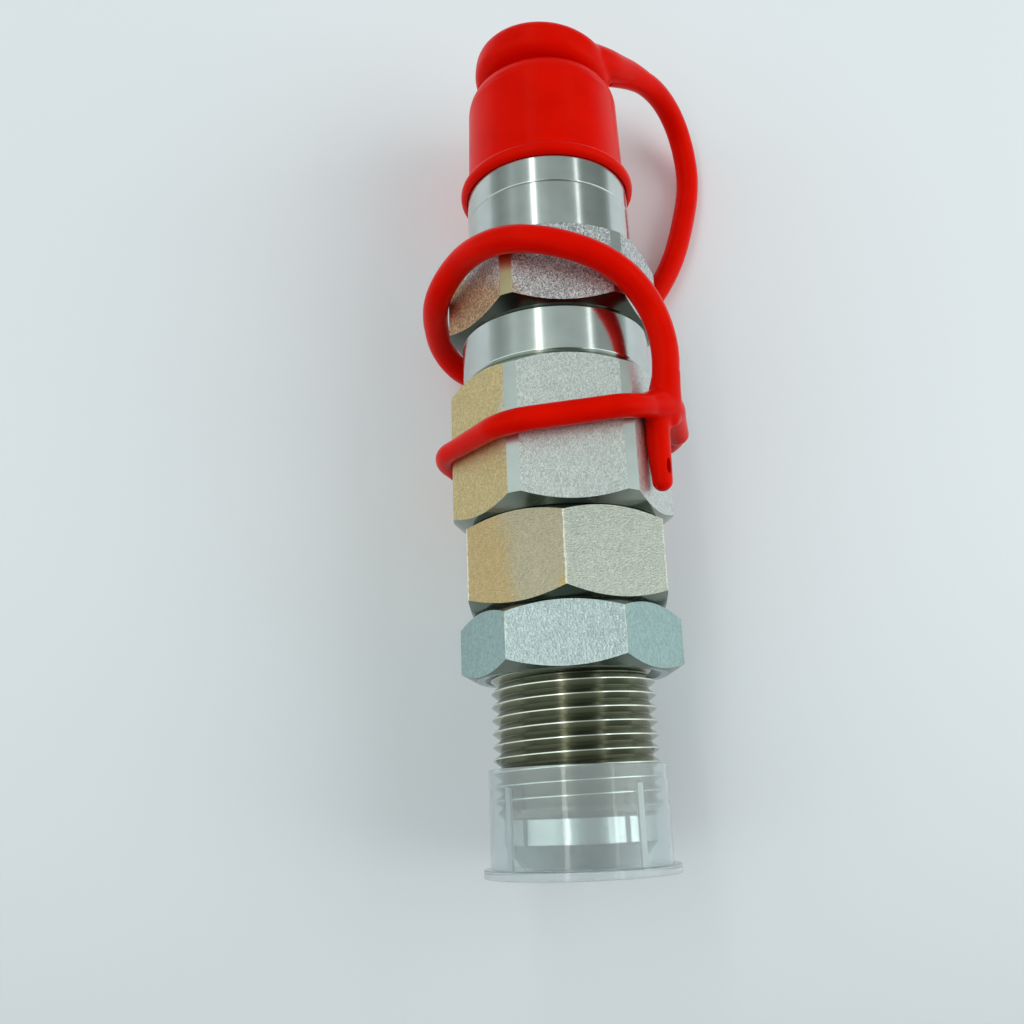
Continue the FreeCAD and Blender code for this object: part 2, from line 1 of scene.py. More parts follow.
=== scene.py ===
import bpy
import math
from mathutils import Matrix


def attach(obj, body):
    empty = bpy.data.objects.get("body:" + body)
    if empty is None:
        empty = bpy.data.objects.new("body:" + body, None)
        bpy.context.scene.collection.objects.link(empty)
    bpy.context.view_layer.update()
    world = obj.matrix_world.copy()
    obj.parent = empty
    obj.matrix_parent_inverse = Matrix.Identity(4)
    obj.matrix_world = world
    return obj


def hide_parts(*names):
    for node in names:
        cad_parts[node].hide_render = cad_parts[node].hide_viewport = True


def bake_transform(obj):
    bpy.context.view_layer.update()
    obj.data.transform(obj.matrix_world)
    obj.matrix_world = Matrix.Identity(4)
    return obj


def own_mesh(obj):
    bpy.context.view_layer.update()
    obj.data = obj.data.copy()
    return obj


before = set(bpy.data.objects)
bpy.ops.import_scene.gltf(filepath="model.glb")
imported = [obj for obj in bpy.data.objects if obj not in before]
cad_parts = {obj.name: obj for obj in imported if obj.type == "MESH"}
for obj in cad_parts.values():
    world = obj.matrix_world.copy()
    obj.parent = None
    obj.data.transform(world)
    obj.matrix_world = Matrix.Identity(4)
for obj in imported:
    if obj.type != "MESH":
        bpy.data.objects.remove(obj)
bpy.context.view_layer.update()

# Camera
# It stands close above the stem's side and leans towards the cap, so the thread end looks large and the
# cap small. The numbers were solved from the hexagons, the rims and the thread in the photograph.
scene = bpy.context.scene
photo_camera = bpy.data.objects.new("photo_camera", bpy.data.cameras.new("photo_camera"))
scene.collection.objects.link(photo_camera)
photo_camera.data.sensor_width = 36
photo_camera.data.lens = 35.58
photo_camera.data.clip_start = 0.005
photo_camera.location = (-0.019473, 0.009035, 0.167280)
photo_camera.rotation_euler = (math.radians(16.4129), math.radians(-2.9743), math.radians(-2.1676))
scene.camera = photo_camera
scene.view_settings.view_transform = "Standard"

# Tether
# A limp round cord of soft red vinyl, moulded in one piece with the cap and the ring. It leaves the cap's
# knob on the right, dips to the surface, passes under the body and loops back over it to the ring.
mm = 0.001
tether_radius = 2.3
tether_route = [
    (13.5, 147.7, 0.6), (19.2, 150.4, -3.1), (25.0, 151.4, -8.6), (29.6, 149.2, -14.2), (32.4, 143.6, -18.2),
    (33.2, 136.0, -20.0), (31.0, 126.4, -19.5), (28.2, 117.6, -19.5), (23.6, 109.4, -19.5),
    (17.4, 102.4, -19.5), (9.8, 96.0, -19.5), (1.2, 91.2, -19.5), (-8.4, 90.1, -20.0), (-16.1, 91.3, -17.3),
    (-20.3, 93.9, -12.4), (-21.7, 95.8, -3.7), (-21.2, 97.1, 4.0), (-17.6, 100.0, 10.3), (-13.6, 99.8, 16.6),
    (-8.6, 99.2, 20.3), (-1.8, 98.0, 21.2), (5.7, 95.8, 20.5), (11.6, 92.2, 18.6), (15.8, 87.0, 15.3),
    (17.1, 79.3, 14.6), (16.4, 75.0, 13.2),
]


def own_place(tree):
    """The coordinates in which a piece was modelled."""
    return tree.nodes.new("ShaderNodeTexCoord").outputs["Object"]


def new_finish(name):
    """A material, its node tree, its shader's sockets and the piece's own coordinates."""
    finish = bpy.data.materials.new(name)
    finish.use_nodes = True
    tree = finish.node_tree
    return finish, tree, tree.nodes["Principled BSDF"].inputs, own_place(tree)


def uneven(tree, place, scale, detail=2):
    """Noise over a piece, finer with a larger scale."""
    noise = tree.nodes.new("ShaderNodeTexNoise")
    noise.inputs["Scale"].default_value = scale
    noise.inputs["Detail"].default_value = detail
    tree.links.new(place, noise.inputs["Vector"])
    return noise.outputs["Fac"]


def toned(tree, value, first, last, start=0.3, end=0.7):
    """A colour that goes from the first to the last while a value goes from start to end."""
    ramp = tree.nodes.new("ShaderNodeValToRGB")
    stops = ramp.color_ramp.elements
    stops[0].position, stops[0].color = start, first
    stops[1].position, stops[1].color = end, last
    tree.links.new(value, ramp.inputs["Fac"])
    return ramp.outputs["Color"]


def relief(tree, height, strength, depth):
    """Fine relief on the surface, from a height between nought and one."""
    bump = tree.nodes.new("ShaderNodeBump")
    bump.inputs["Strength"].default_value = strength
    bump.inputs["Distance"].default_value = depth
    tree.links.new(height, bump.inputs["Height"])
    tree.links.new(bump.outputs["Normal"], tree.nodes["Principled BSDF"].inputs["Normal"])


def red_vinyl():
    """Soft glossy vinyl: a deep even red with the fine uneven skin of a moulding, and red highlights."""
    finish, tree, skin, place = new_finish("red_vinyl")
    skin["Roughness"].default_value = 0.29
    skin["Specular IOR Level"].default_value = 0.07
    skin["Specular Tint"].default_value = (1.0, 0.35, 0.2, 1)
    shade = toned(tree, uneven(tree, place, 160, 3), (0.70, 0.0030, 0.0001, 1), (0.77, 0.0044, 0.0002, 1))
    tree.links.new(shade, skin["Base Color"])
    relief(tree, uneven(tree, place, 900, 4), 0.25, 0.00008)
    return finish


def take_up(piece):
    """One piece alone is selected."""
    bpy.ops.object.select_all(action="DESELECT")
    piece.select_set(True)
    bpy.context.view_layer.objects.active = piece


def coat(piece, finish):
    """One finish all over a piece."""
    piece.data.materials.clear()
    piece.data.materials.append(finish)


def soft_line(name, points, widths=None):
    """A smooth line along some points in mm, with its relative width at each."""
    line = bpy.data.curves.new(name, "CURVE")
    line.dimensions = "3D"
    line.resolution_u = 10
    spline = line.splines.new("NURBS")
    spline.points.add(len(points) - 1)
    for point, (x, y, z), width in zip(spline.points, points, widths or [1] * len(points)):
        point.co = (x * mm, y * mm, z * mm, 1)
        point.radius = width
    spline.order_u = 3
    spline.use_endpoint_u = True
    piece = bpy.data.objects.new(name, line)
    scene.collection.objects.link(piece)
    return piece


def fill_out(piece, radius):
    """The line becomes a round solid with closed ends."""
    piece.data.bevel_depth = radius * mm
    piece.data.bevel_resolution = 8
    piece.data.use_fill_caps = True
    take_up(piece)
    bpy.ops.object.convert(target="MESH")


vinyl = red_vinyl()
tether = soft_line("tether_cord", tether_route)
tether_path = [tuple(vertex.co) for vertex in bpy.data.meshes.new_from_object(tether).vertices]
fill_out(tether, tether_radius)
bpy.ops.object.shade_smooth()
coat(tether, vinyl)
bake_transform(tether)
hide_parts("cap_tether")

# Bulkhead adapter
# The coupler's rear piece, turned and threaded from hexagon bar and zinc plated: a 37 degree flare, a short
# relief, a long 12 to the inch thread for the bulkhead, a 32 mm hexagon and the spigot screwed into the body.
pole = 0.0005  # the radius, in mm, at which an outline reaches the axis
stem_radius = 12.1
small_bar = {"flats": 32.0, "face": 15.8, "corner": 18.475, "chamfer": 1.55, "around": 160}
thread_pitch, thread_start, thread_turns = 2.117, 4.75, 18
thread_run_in, thread_end = 7.2, 39.9
thread_profile = [(13.495, -0.07), (13.495, 0.07), (12.88, 0.51), (12.33, 0.90), (12.245, 1.058), (12.33, 1.217),
                  (12.88, 1.607), (13.495, 2.047)]


def merge_and_face_out(distance):
    """In edit mode: points that meet become one, the faces turn outwards, and edit mode ends."""
    bpy.ops.mesh.select_all(action="SELECT")
    bpy.ops.mesh.remove_doubles(threshold=distance)
    bpy.ops.mesh.normals_make_consistent(inside=False)
    bpy.ops.object.mode_set(mode="OBJECT")


def turn_on_lathe(name, outline, around=160):
    """A turned piece: a ring is drawn out along the axis and resized at each (radius, place) in mm."""
    bpy.ops.object.select_all(action="DESELECT")
    bpy.ops.mesh.primitive_circle_add(vertices=around, radius=outline[0][0] * mm,
                                      location=(0, outline[0][1] * mm, 0), rotation=(math.pi / 2, 0, 0))
    piece = bpy.context.object
    piece.name = name
    bpy.ops.object.transform_apply(location=True, rotation=True, scale=True)
    bpy.ops.object.mode_set(mode="EDIT")
    bpy.ops.mesh.select_all(action="SELECT")
    for (before, start), (after, end) in zip(outline, outline[1:]):
        bpy.ops.mesh.extrude_edges_move(TRANSFORM_OT_translate={"value": (0, (end - start) * mm, 0)})
        bpy.ops.transform.resize(value=(after / before, 1, after / before), center_override=(0, end * mm, 0))
    merge_and_face_out(2e-6)
    return piece


def rounding(radius, place, size, first, last, steps=6):
    """Points of an outline round a corner's centre, from one angle to another, seen with outward as zero."""
    angles = [math.radians(first + (last - first) * step / steps) for step in range(steps + 1)]
    return [(radius + size * math.cos(a), place + size * math.sin(a)) for a in angles]


def finish_with(piece, kind, **settings):
    """One modifier on a piece, applied."""
    take_up(piece)
    modifier = piece.modifiers.new("finish", kind)
    for setting, value in settings.items():
        setattr(modifier, setting, value)
    bpy.ops.object.modifier_apply(modifier="finish")


def cut_with(piece, tool, operation):
    """A cut by another solid, which is used up."""
    finish_with(piece, "BOOLEAN", object=tool, operation=operation, solver="EXACT")
    bpy.data.objects.remove(tool)


def hexagon_bar(name, bar, start, end, turn, bore):
    """A length of hexagon bar, turned by some degrees from a corner straight up, chamfered and bored out."""
    bpy.ops.object.select_all(action="DESELECT")
    bpy.ops.mesh.primitive_cylinder_add(vertices=6, radius=bar["flats"] / math.sqrt(3) * mm,
                                        depth=(end - start) * mm, location=(0, (start + end) / 2 * mm, 0),
                                        rotation=(math.pi / 2, math.radians(turn), 0))
    piece = bpy.context.object
    piece.name = name
    bpy.ops.object.transform_apply(location=True, rotation=True, scale=True)
    face, corner, chamfer = bar["face"], bar["corner"], bar["chamfer"]
    cut_with(piece, turn_on_lathe(name + "_chamfers", [
        (pole, start), (face, start), (corner, start + chamfer), (corner, end - chamfer), (face, end),
        (pole, end)], bar["around"]), "INTERSECT")
    cut_with(piece, turn_on_lathe(name + "_bore", [(pole, bore[0][1])] + bore + [(pole, bore[-1][1])]),
             "DIFFERENCE")
    return piece


def join_to(piece, *others):
    """Several solids of one piece as one mesh."""
    take_up(piece)
    for other in others:
        other.select_set(True)
    bpy.ops.object.join()


def break_edges(piece, width, angle=24, segments=2):
    """The small rounding that tumbling and plating leave on every edge."""
    finish_with(piece, "BEVEL", width=width * mm, segments=segments, limit_method="ANGLE",
                angle_limit=math.radians(angle), harden_normals=False)
    bpy.ops.object.shade_smooth_by_angle(angle=math.radians(22))
    finish_with(piece, "WEIGHTED_NORMAL", keep_sharp=True)


def spread_over(tree, value, low, high, least=0, most=1, interpolation="LINEAR"):
    """A number that goes from least to most while a value goes from low to high."""
    spread = tree.nodes.new("ShaderNodeMapRange")
    spread.interpolation_type = interpolation
    for socket, number in (("From Min", low), ("From Max", high), ("To Min", least), ("To Max", most)):
        spread.inputs[socket].default_value = number
    tree.links.new(value, spread.inputs["Value"])
    return spread.outputs["Result"]


def vector_step(tree, operation, vector, other, result):
    """One step of vector arithmetic."""
    step = tree.nodes.new("ShaderNodeVectorMath")
    step.operation = operation
    tree.links.new(vector, step.inputs[0])
    if other:
        step.inputs[1].default_value = other
    return step.outputs[result]


def off_axis(tree, place):
    """How far a point lies from the coupler's axis."""
    return vector_step(tree, "LENGTH", vector_step(tree, "MULTIPLY", place, (1, 0, 1), "Vector"), None, "Value")


def wandering(tree, value, noise, reach):
    """A value that a noise carries on by some reach at most."""
    step = tree.nodes.new("ShaderNodeMath")
    step.operation = "MULTIPLY_ADD"
    step.inputs[1].default_value = reach
    tree.links.new(noise, step.inputs[0])
    tree.links.new(value, step.inputs[2])
    return step.outputs["Value"]


def lay_over(tree, colour, share, way):
    """Another colour over the finish's own, by a share between nought and one."""
    base = tree.nodes["Principled BSDF"].inputs["Base Color"]
    over = tree.nodes.new("ShaderNodeMix")
    over.data_type = "RGBA"
    over.blend_type = way
    over.inputs["B"].default_value = colour
    tree.links.new(share, over.inputs["Factor"])
    tree.links.new(base.links[0].from_socket, over.inputs["A"])
    tree.links.new(over.outputs["Result"], base)


def turned_zinc(name, dark=(0.56, 0.60, 0.58, 1), light=(0.64, 0.68, 0.66, 1), spread=0.15):
    """Zinc plate over turned steel: bright, with fine rings from the tool that spread its reflections."""
    metal, tree, plate, place = new_finish(name)
    plate["Metallic"].default_value = 1.0
    rings = tree.nodes.new("ShaderNodeMapping")
    rings.inputs["Scale"].default_value = (60, 5200, 60)
    tree.links.new(place, rings.inputs["Vector"])
    lines = uneven(tree, rings.outputs["Vector"], 1.0, 3)
    tree.links.new(toned(tree, uneven(tree, place, 220, 4), dark, light), plate["Base Color"])
    tree.links.new(spread_over(tree, lines, 0, 1, spread - 0.04, spread + 0.04), plate["Roughness"])
    relief(tree, lines, 0.35, 0.00001)
    return metal


def blasted_zinc(name, grain_size, dark, light, depth):
    """Zinc plate over a blasted hexagon flat: grains some mm across, each with its own tone."""
    metal, tree, plate, place = new_finish(name)
    plate["Metallic"].default_value = 1.0
    plate["Roughness"].default_value = 0.46
    grain = tree.nodes.new("ShaderNodeTexVoronoi")
    grain.inputs["Scale"].default_value = 1000 / grain_size
    tree.links.new(place, grain.inputs["Vector"])
    tree.links.new(toned(tree, grain.outputs["Color"], dark, light, 0.15, 0.95), plate["Base Color"])
    relief(tree, grain.outputs["Distance"], 1.0, depth)
    return metal


def painted_warm_reflection(metal, tint, towards, border, width):
    """A painted warm reflection, multiplied in on the side of a wavering border that a direction points away from.
    """
    tree = metal.node_tree
    place = own_place(tree)
    waver = 0.006
    along = vector_step(tree, "DOT_PRODUCT", place, towards, "Value")
    edge = wandering(tree, along, uneven(tree, place, 120, 4), waver)
    start = border + waver / 2
    lay_over(tree, tint, spread_over(tree, edge, start, start + width, 1, 0), "MULTIPLY")


def worn_and_highlit_corners(metal, reach):
    """Bright specks along a hexagon's corners, from some mm off the axis: wear, and a painted highlight on the
    corner line.
    """
    tree = metal.node_tree
    place = own_place(tree)
    edge = wandering(tree, off_axis(tree, place), uneven(tree, place, 1400), 0.0003)
    lay_over(tree, (0.92, 0.87, 0.74, 1), spread_over(tree, edge, reach * mm, (reach + 0.05) * mm), "MIX")


def thread_steel_painted_shade():
    """The thread: its colour darkens from the crests down the flanks into the roots, as painted shade in the
    grooves.
    """
    metal, tree, plate, place = new_finish("thread_steel_painted_shade")
    plate["Metallic"].default_value = 1.0
    plate["Roughness"].default_value = 0.18
    height = spread_over(tree, off_axis(tree, place), 0.0122, 0.0135)
    tone = toned(tree, height, (0.10, 0.11, 0.08, 1), (0.84, 0.86, 0.78, 1), 0.0, 0.985)
    for level, colour in ((0.18, (0.32, 0.325, 0.255, 1)), (0.90, (0.41, 0.415, 0.34, 1))):
        tone.node.color_ramp.elements.new(level).color = colour
    tree.links.new(tone, plate["Base Color"])
    return metal


def dress_faces(piece, metal, chosen):
    """Another finish on some faces of a piece."""
    piece.data.materials.append(metal)
    for face in piece.data.polygons:
        if chosen(face.center, face.normal):
            face.material_index = len(piece.data.materials) - 1


def on_chamfer(centre, normal):
    """A face of a hexagon's chamfer, or of the rounding beside it."""
    return 0.3 < abs(normal.y) < 0.97


turned = turned_zinc("turned_zinc")
blasted_rear = blasted_zinc("blasted_rear_hexagon", 0.28, (0.52, 0.53, 0.47, 1), (0.72, 0.73, 0.65, 1), 0.00008)
# bright specks along the corners: wear and painted highlight
worn_and_highlit_corners(blasted_rear, 18.51)
# the left flats get a tan copy of the blasted finish with warmer patches: painted warm reflection
left_flat_painted_reflection = blasted_zinc("blasted_left_flat_painted_reflection", 0.28, (0.47, 0.41, 0.29, 1), (0.62, 0.54, 0.39, 1), 0.00006)
painted_warm_reflection(left_flat_painted_reflection, (1.09, 0.92, 0.69, 1), (1, 0.12, 0), -0.0058, 0.0022)
painted_warm_reflection(left_flat_painted_reflection, (1.26, 0.98, 0.60, 1), (-0.86, 0.50, 0), 0.0226, 0.0012)
worn_and_highlit_corners(left_flat_painted_reflection, 18.51)
# the chamfers get a darker copy of the turned finish: painted shade
chamfers_painted_shade = turned_zinc("chamfers_painted_shade", (0.13, 0.16, 0.13, 1), (0.18, 0.21, 0.17, 1), 0.20)
adapter = turn_on_lathe("bulkhead_adapter_turned", [
    (7.8, 41.0), (7.8, 0.0), (9.5, 0.0), (stem_radius, 3.45), (stem_radius, 39.0), (14.6, 40.5), (14.6, 53.6),
    (13.5, 54.6), (13.5, 57.6), (11.8, 57.6), (11.8, 61.4), (13.5, 61.4), (13.5, 63.05), (12.7, 63.85),
    (10.0, 63.85), (10.0, 46.3), (10.6, 46.3), (10.6, 45.0), (10.0, 45.0), (10.0, 41.0), (7.8, 41.0),
])
break_edges(adapter, 0.12)
coat(adapter, turned)
dress_faces(adapter, turned_zinc("turned_stem_end", (0.48, 0.43, 0.35, 1), (0.56, 0.50, 0.41, 1), 0.22),
            lambda centre, normal: centre.y < 12 * mm and math.hypot(centre.x, centre.z) > 12 * mm)
# the flare's cone gets a darker bluish copy of the turned finish: painted shade
dress_faces(adapter, turned_zinc("turned_flare_painted_shade", (0.22, 0.27, 0.29, 1), (0.34, 0.40, 0.42, 1), 0.34),
            lambda centre, normal: centre.y < 3.5 * mm and math.hypot(centre.x, centre.z) > 9 * mm)
rear_hexagon = hexagon_bar("rear_hexagon", small_bar, 39.7, 54.6, -6.9, [(14.0, 30), (14.0, 60)])
break_edges(rear_hexagon, 0.22, segments=3)
coat(rear_hexagon, blasted_rear)
dress_faces(rear_hexagon, left_flat_painted_reflection, lambda centre, normal: abs(normal.y) < 0.2 and -0.92 < normal.x < -0.4)
dress_faces(rear_hexagon, chamfers_painted_shade, on_chamfer)
thread_line = bpy.data.meshes.new("stem_thread")
thread_line.from_pydata([(radius * mm, (place + thread_start) * mm, 0) for radius, place in thread_profile],
                        [(first, first + 1) for first in range(len(thread_profile) - 1)], [])
thread = bpy.data.objects.new("stem_thread", thread_line)
scene.collection.objects.link(thread)
finish_with(thread, "SCREW", axis="Y", screw_offset=thread_pitch * mm, iterations=thread_turns, steps=96,
            render_steps=96, use_merge_vertices=True, merge_threshold=1e-5)
for vertex in thread.data.vertices:
    place = min(max(vertex.co.y, thread_run_in * mm), thread_end * mm)
    reach = math.hypot(vertex.co.x, vertex.co.z)
    allowed = min(reach, stem_radius * mm + (place - thread_run_in * mm) * 0.9)
    vertex.co = (vertex.co.x * allowed / reach, place, vertex.co.z * allowed / reach)
bpy.ops.object.mode_set(mode="EDIT")
merge_and_face_out(4e-6)
bpy.ops.object.shade_smooth_by_angle(angle=math.radians(25))
coat(thread, thread_steel_painted_shade())
join_to(adapter, rear_hexagon, thread)
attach(adapter, "body")
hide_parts("bulkhead_adapter")

# Lock nut
# A plain 32 mm hexagon nut, chamfered on both faces, countersunk and zinc plated with a bluish film. It turns
# on the stem's thread and clamps the bulkhead plate against the adapter's hexagon.
blasted_nut = blasted_zinc("blasted_lock_nut", 0.32, (0.44, 0.53, 0.53, 1), (0.66, 0.75, 0.76, 1), 0.00006)
# bright specks along the corners: wear and painted highlight
worn_and_highlit_corners(blasted_nut, 18.57)
# the side flats get a darker copy of the nut's blasted finish: painted shade
nut_side_painted_shade = blasted_zinc("blasted_nut_side_painted_shade", 0.32, (0.34, 0.47, 0.46, 1), (0.48, 0.64, 0.62, 1), 0.00004)
lock_nut = hexagon_bar("lock_nut_plated", small_bar, 29.1, 39.55, 20.8, [
    (14.955, 28.6), (13.555, 30.0), (13.555, 38.65), (14.955, 40.05)])
break_edges(lock_nut, 0.22, segments=3)
coat(lock_nut, blasted_nut)
dress_faces(lock_nut, nut_side_painted_shade, lambda centre, normal: abs(normal.y) < 0.2 and abs(normal.x) > 0.5)
dress_faces(lock_nut, chamfers_painted_shade, on_chamfer)
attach(lock_nut, "nut")
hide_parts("lock_nut")

# Valve body
# The long 34 mm hexagon that houses the second valve, of zinc plated steel. Its corners are turned down to
# 38 mm, which leaves a smooth band along each between the blasted flats, and both ends are chamfered.
large_bar = {"flats": 34.0, "face": 16.2, "corner": 19.0, "chamfer": 1.9, "around": 240}


def dress_hexagon(piece, turned_metal, blasted_metal):
    """The turned finish all over, and the blasted one on the six flats."""
    coat(piece, turned_metal)
    dress_faces(piece, blasted_metal, lambda centre, normal: (
        abs(normal.y) < 0.05 and math.hypot(centre.x, centre.z) > large_bar["flats"] / 2 * mm - 1e-5
        and abs(math.degrees(math.atan2(normal.z, normal.x)) % 60 - 30) < 1.0))


blasted_large = blasted_zinc("blasted_valve_body", 0.22, (0.54, 0.57, 0.55, 1), (0.88, 0.92, 0.90, 1), 0.00005)
# a warm patch on the left of the flats: painted reflection
painted_warm_reflection(blasted_large, (1.0, 0.76, 0.41, 1), (1, 0, 0), -0.0108, 0.0022)
bands = turned_zinc("turned_corner_bands", (0.54, 0.58, 0.56, 1), (0.62, 0.66, 0.64, 1), 0.32)
valve_body = hexagon_bar("valve_body_hexagon", large_bar, 54.6, 80.6, 30, [
    (13.6, 50), (13.6, 64.0), (8.6, 64.0), (6.5, 66.1), (6.5, 71.3), (13.6, 71.3), (13.6, 85)])
break_edges(valve_body, 0.3, angle=15, segments=3)
dress_hexagon(valve_body, bands, blasted_large)
# a darker copy of the turned finish on the chamfers: painted shade
dress_faces(valve_body, turned_zinc("valve_body_chamfers_painted_shade", (0.22, 0.25, 0.21, 1), (0.30, 0.33, 0.28, 1), 0.16),
            on_chamfer)
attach(valve_body, "body")
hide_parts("valve_body")

# Spacer collar
# A bright turned and plated ring. It fills the gap between the two large hexagons and is held there when
# they are screwed together.
spacer = turn_on_lathe("spacer_collar_turned", [
    (13.6, 80.6), (16.2, 80.6), (16.65, 81.05), (16.65, 88.65), (16.2, 89.1), (13.6, 89.1), (13.6, 80.6)], 200)
break_edges(spacer, 0.12)
coat(spacer, turned)
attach(spacer, "body")
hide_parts("spacer_collar")

# Front body
# The second large hexagon with the turned barrel in front of it, of plated steel. Its spigot with the seal
# groove is screwed into the valve body, and the nose is screwed into its barrel.
blasted_front = blasted_zinc("blasted_front_body", 0.23, (0.28, 0.29, 0.30, 1), (0.98, 1.0, 1.0, 1), 0.00007)
# a warm patch on the left of the flats: painted reflection
painted_warm_reflection(blasted_front, (1.0, 0.70, 0.42, 1), (0.7, 0.7, 0), 0.0570, 0.003)
turned_front = turned_zinc("turned_front_hexagon", (0.54, 0.58, 0.56, 1), (0.62, 0.66, 0.64, 1), 0.30)
# a warm strip on the left of the turned bands: painted reflection
painted_warm_reflection(turned_front, (1.0, 0.78, 0.48, 1), (1, 0, 0), -0.0078, 0.0005)
front_body = turn_on_lathe("front_body_turned", [
    (8.8, 71.5), (12.7, 71.5), (13.5, 72.3), (13.5, 73.8), (11.8, 73.8), (11.8, 77.6), (13.5, 77.6),
    (13.5, 89.1), (15.0, 89.1), (15.0, 113.65), (14.85, 113.8), (13.1, 113.8), (13.1, 104.0), (10.0, 104.0),
    (10.0, 100.0), (8.8, 100.0), (8.8, 71.5)], 200)
break_edges(front_body, 0.1)
coat(front_body, turned)
front_hexagon = hexagon_bar("front_hexagon", large_bar, 89.1, 104.6, 30, [(14.6, 85), (14.6, 110)])
break_edges(front_hexagon, 0.3, angle=15, segments=3)
dress_hexagon(front_hexagon, turned_front, blasted_front)
# a near black copy of the turned finish on the chamfers: painted shade
dress_faces(front_hexagon, turned_zinc("front_chamfers_painted_shade", (0.05, 0.06, 0.05, 1), (0.09, 0.10, 0.08, 1), 0.16),
            on_chamfer)
join_to(front_body, front_hexagon)
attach(front_body, "body")
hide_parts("front_body")

# Nose
# The turned and plated nose, with its collar and the groove for the locking balls. It carries the flat face
# valve and is screwed into the front body.
nose = turn_on_lathe("nose_turned", [
    (9.2, 104.05), (13.0, 104.05), (13.0, 110.3), (11.4, 110.3), (11.4, 112.6), (13.0, 112.6), (13.0, 113.8),
    (14.85, 113.8), (15.0, 113.95), (15.0, 120.8), (14.7, 121.1), (12.25, 121.1), (12.25, 124.8), (10.95, 126.1),
    (10.95, 128.2), (12.25, 129.5), (12.25, 138.8), (11.25, 139.8), (7.8, 139.8), (7.8, 135.7), (9.2, 134.3),
    (9.2, 104.05)], 200)
break_edges(nose, 0.1)
coat(nose, turned)
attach(nose, "body")
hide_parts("nose")

# Dust cap
# One soft vinyl moulding: a sleeve with a rolled lip that grips the collar, a rounded shoulder, a short neck
# and a mushroom knob to pull it by, with the tether's thick root on the knob's right side.
knob_foot, knob_tilt = 143.6, 7
voxel = 0.00024
cap = turn_on_lathe("dust_cap_sleeve", (
    [(pole, 140.1)] + rounding(11.65, 138.6, 1.5, 90, 0) + [(13.15, 121.4), (15.06, 121.4), (15.06, 119.2)]
    + rounding(14.9, 120.15, 1.32, -80, 78, 12) + [(14.66, 121.9), (14.28, 138.0)]
    + rounding(9.55, 138.0, 4.7, 0, 84, 12) + [(9.3, 142.9), (9.3, 146.9), (pole, 146.9)]), 200)
break_edges(cap, 0.35, angle=30, segments=3)
coat(cap, vinyl)
knob = turn_on_lathe("dust_cap_knob", (
    [(pole, knob_foot), (9.6, knob_foot)] + rounding(10.7, 146.1, 2.5, -90, 0)
    + rounding(10.7, 147.8, 2.55, 0, 90) + [(6.0, 150.4), (pole, 150.45)]))
bpy.ops.object.mode_set(mode="EDIT")
bpy.ops.mesh.select_all(action="SELECT")
bpy.ops.transform.rotate(value=math.radians(knob_tilt), orient_axis="Z", center_override=(0, knob_foot * mm, 0))
bpy.ops.object.mode_set(mode="OBJECT")
root = soft_line("tether_root", [(7.0, 146.8, 6.8), (11.6, 147.3, 4.2), (15.4, 149.0, 0.4), (19.0, 150.8, -3.0),
                                 (22.1, 150.9, -5.85)], (1.30, 1.40, 1.24, 1.08, 1.03))
fill_out(root, tether_radius)
join_to(knob, root)
finish_with(knob, "REMESH", mode="VOXEL", voxel_size=voxel)
finish_with(knob, "SMOOTH", factor=0.5, iterations=44)
bpy.ops.object.shade_smooth()
coat(knob, vinyl)
join_to(cap, knob)
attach(cap, "cap")
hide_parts("dust_cap")

# Ring and tab
# The other end of the vinyl moulding: a ring stretched over the valve body's hexagon, the web where the
# tether meets it, and a small slotted tab to pull it by.
ring_place, ring_lean = 68.6, 0.13
bpy.ops.object.select_all(action="DESELECT")
bpy.ops.mesh.primitive_circle_add(vertices=6, radius=22.1 * mm, location=(0, 0, 0),
                                  rotation=(math.pi / 2, math.radians(30), 0))
ring = bpy.context.object
ring.name = "tether_ring_vinyl"
bpy.ops.object.transform_apply(location=True, rotation=True, scale=True)
# the ring leans towards the cap on the right, lies closer at both sides and sags a little underneath
for vertex in ring.data.vertices:
    x, z = vertex.co.x, vertex.co.z
    low = z < -10 * mm
    vertex.co.y = 66.6 * mm if low and x < -5 * mm else ring_place * mm + x * ring_lean
    if x < -20 * mm:
        vertex.co = (-21.45 * mm, 67.9 * mm, z)
    if x > 20 * mm:
        vertex.co.x = 21.7 * mm
    if low:
        vertex.co.z -= 0.85 * mm
bpy.ops.object.mode_set(mode="EDIT")
bpy.ops.mesh.select_all(action="SELECT")
bpy.ops.mesh.bevel(affect="VERTICES", offset=4.2 * mm, segments=10)
bpy.ops.mesh.select_all(action="SELECT")
bpy.ops.mesh.subdivide(number_cuts=3)
bpy.ops.object.mode_set(mode="OBJECT")
# where the tether meets it, it is pulled towards the cap
for vertex in ring.data.vertices:
    pull = min(max(1 - abs(vertex.co.x - 15 * mm) / (6 * mm), 0), 1)
    if vertex.co.z > 0:
        vertex.co.y += 0.7 * mm * pull * pull * (3 - 2 * pull)
bpy.ops.object.convert(target="CURVE")
